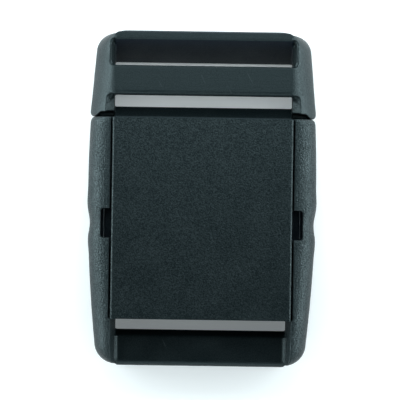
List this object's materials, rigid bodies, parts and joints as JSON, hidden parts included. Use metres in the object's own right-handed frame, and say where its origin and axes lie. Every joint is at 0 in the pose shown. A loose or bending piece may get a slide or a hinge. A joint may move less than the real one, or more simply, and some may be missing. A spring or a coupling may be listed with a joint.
{
  "type": "side release webbing buckle",
  "caption": "Flat black plastic webbing buckle whose plug, with a strap adjuster, latches in a panelled socket by side-pressed spring arms.",
  "frame": {"origin": "middle of the back face, halfway along the length, on the surface that the buckle lies on", "axes": "+X across the buckle, +Y along it towards the plug's strap end, +Z out of the front panel"},
  "size_m": [0.0522, 0.0762, 0.0125],
  "materials": {
    "grained_shell": "fine spark-eroded grain",
    "grained_panel": "fine spark-eroded grain, level",
    "smooth_bar": "smooth satin",
    "plug_shell": "satin, finer grain than the socket",
    "spring": "smooth satin"
  },
  "bodies": {
    "socket": {"socket_floor": "grained_shell", "left_rail": "grained_shell", "right_rail": "grained_shell", "front_panel": "grained_panel", "cavity_end_wall": "smooth_bar", "strap_bar": "smooth_bar", "left_guide_rib": "smooth_bar", "right_guide_rib": "smooth_bar"},
    "plug": {"left_shoulder": "plug_shell", "right_shoulder": "plug_shell", "end_bar": "plug_shell", "crossbar": "plug_shell", "neck": "plug_shell", "guide_tongue": "plug_shell"},
    "left_arm": {"left_spring_arm": "spring", "left_press_pad": "grained_shell"},
    "right_arm": {"right_spring_arm": "spring", "right_press_pad": "grained_shell"}
  },
  "joints": [
    {"name": "plug_slide", "type": "slide", "parent": "socket", "child": "plug", "axis": [0, 1, 0], "range_m": [0, 0.036], "deforming": ["left_press_pad", "right_press_pad"]},
    {"name": "left_arm_squeeze", "type": "hinge", "parent": "plug", "child": "left_arm", "pos_m": [-0.0186, 0.0132, 0.0062], "axis": [0, 0, 1], "range_deg": [0, 10.5], "stiffness_Nm_per_rad": 0.8},
    {"name": "right_arm_squeeze", "type": "hinge", "parent": "plug", "child": "right_arm", "pos_m": [0.0186, 0.0132, 0.0062], "axis": [0, 0, -1], "range_deg": [0, 10.5], "stiffness_Nm_per_rad": 0.8}
  ]
}
